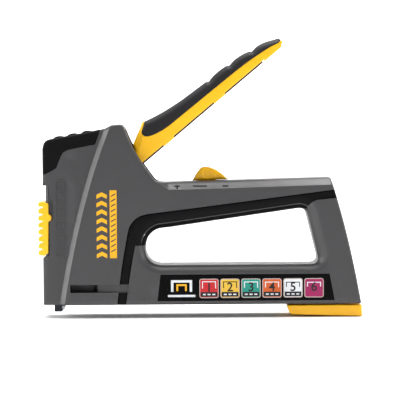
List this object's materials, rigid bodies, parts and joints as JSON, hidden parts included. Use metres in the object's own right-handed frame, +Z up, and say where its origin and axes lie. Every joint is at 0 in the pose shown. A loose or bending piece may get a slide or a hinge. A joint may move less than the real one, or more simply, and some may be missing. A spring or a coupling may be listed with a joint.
{
  "type": "staple gun",
  "caption": "Hand staple gun with a squeeze lever, spring-driven striker, sliding power selector, lever lock and a pull-out staple magazine with a pusher.",
  "frame": {"origin": "under the middle of the tool, at the level of the lowest point of the magazine foot", "axes": "+X from the nose to the rear of the tool, +Y to the tool's right-hand side seen from behind the nose, +Z up from the magazine to the lever"},
  "size_m": [0.1996, 0.0366, 0.1719],
  "materials": {
    "housing_grey": "fine satin moulded grain",
    "soft_black": "matte soft-touch moulding",
    "yellow_plastic": "satin moulded yellow",
    "label_film": "printed film",
    "black_steel": "blackened sheet steel",
    "bright_steel": "plated steel",
    "spring_steel": "bare spring steel",
    "black_plastic": "moulded"
  },
  "bodies": {
    "root": {"left_housing": "housing_grey", "right_housing": "housing_grey", "hand_grip": "soft_black", "head_bumper": "soft_black", "label_left": "label_film", "label_right": "label_film", "front_plate": "black_steel", "nose_tip": "black_steel", "nose_pin": "bright_steel", "magazine_channel": "black_steel", "lever_pivot_pin": "bright_steel", "spring_cap": "black_steel", "striker_buffer": "soft_black", "lock_leaf_spring": "spring_steel", "housing_screw_1": "bright_steel", "housing_screw_2": "bright_steel", "housing_screw_3": "bright_steel", "housing_screw_4": "bright_steel", "housing_screw_5": "bright_steel", "drive_spring": "spring_steel"},
    "lever": {"lever_shell": "yellow_plastic", "lever_grip": "soft_black", "lever_core": "black_steel", "lift_arm": "bright_steel", "arm_rivet": "bright_steel", "catch_claw": "bright_steel", "lever_return_spring": "spring_steel"},
    "striker": {"striker_block": "black_steel", "driver_blade": "bright_steel", "blade_rivet": "bright_steel", "lift_yoke": "black_steel", "yoke_pin": "bright_steel"},
    "selector": {"selector_slider": "yellow_plastic", "selector_clip": "spring_steel"},
    "lock": {"lever_lock": "yellow_plastic", "lock_bar": "bright_steel"},
    "magazine": {"magazine_foot": "yellow_plastic", "magazine_rail": "bright_steel", "foot_pin": "bright_steel", "foot_clip": "black_steel", "spring_rod": "bright_steel", "staple_strip": "bright_steel", "pusher_spring": "spring_steel"},
    "pusher": {"pusher": "black_plastic"}
  },
  "joints": [
    {"name": "lever_squeeze", "type": "hinge", "parent": "root", "child": "lever", "pos_m": [-0.0503, 0, 0.088], "axis": [0, 1, 0], "range_deg": [0, 37], "stiffness_Nm_per_rad": 1, "springref_deg": -20.05},
    {"name": "striker_lift", "type": "slide", "parent": "root", "child": "striker", "axis": [0, 0, 1], "range_m": [0, 0.0142], "deforming": ["drive_spring"]},
    {"name": "selector_slide", "type": "slide", "parent": "root", "child": "selector", "axis": [0, 0, 1], "range_m": [0, 0.0094]},
    {"name": "lock_slide", "type": "slide", "parent": "root", "child": "lock", "axis": [-1, 0, 0], "range_m": [0, 0.007]},
    {"name": "magazine_slide", "type": "slide", "parent": "root", "child": "magazine", "axis": [1, 0, 0], "range_m": [0, 0.08]},
    {"name": "pusher_slide", "type": "slide", "parent": "magazine", "child": "pusher", "axis": [1, 0, 0], "range_m": [0, 0.06], "stiffness_N_per_m": 15, "springref_m": -0.05, "deforming": ["pusher_spring"]}
  ],
  "couplings": [
    {"joint": "striker_lift", "follows": "lever_squeeze", "m_per_rad": 0.02196}
  ]
}
